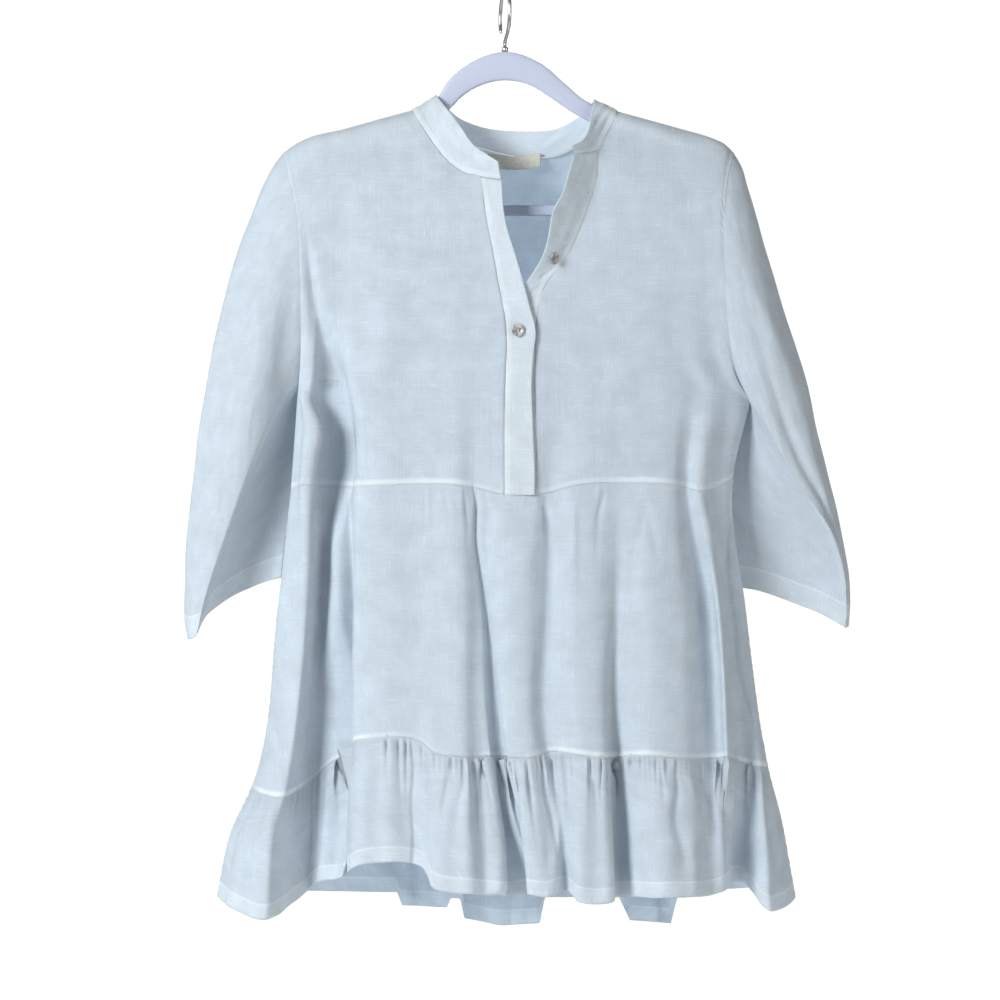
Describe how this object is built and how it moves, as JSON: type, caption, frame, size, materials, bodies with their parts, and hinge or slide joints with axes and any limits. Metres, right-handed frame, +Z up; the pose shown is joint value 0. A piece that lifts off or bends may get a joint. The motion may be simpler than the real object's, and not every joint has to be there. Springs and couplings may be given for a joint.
{
  "type": "babydoll top on hanger",
  "caption": "Pale linen babydoll top with a stand collar, part-open placket, loose sleeves and a gathered hem tier, hanging on a flat plastic hanger with a wire hook.",
  "frame": {"origin": "the hook's bearing point: the inner top of the hanger's wire hook, where a rail would carry it", "axes": "+Z up along the hook's stem, -Y out of the top's front, +X towards the wearer's left, in metres"},
  "size_m": [0.6334, 0.1566, 0.9023],
  "materials": {
    "linen": "matt slubby open-weave linen, pale blue-white",
    "button_shell": "smoky grey shell, soft gloss",
    "label_tape": "plain woven tape, bare",
    "hanger_plastic": "smooth satin plastic, lavender white",
    "hook_steel": "plated wire, satin"
  },
  "bodies": {
    "root": {"bodice_front_right": "linen", "bodice_front_left": "linen", "bodice_back": "linen", "skirt_front": "linen", "skirt_back": "linen", "ruffle_front": "linen", "ruffle_back": "linen", "sleeve_right": "linen", "sleeve_left": "linen", "collar_band": "linen", "placket_over": "linen", "placket_under": "linen", "button_1": "button_shell", "button_2": "button_shell", "label": "label_tape", "hanger_body": "hanger_plastic", "hanger_hook": "hook_steel"}
  },
  "joints": []
}
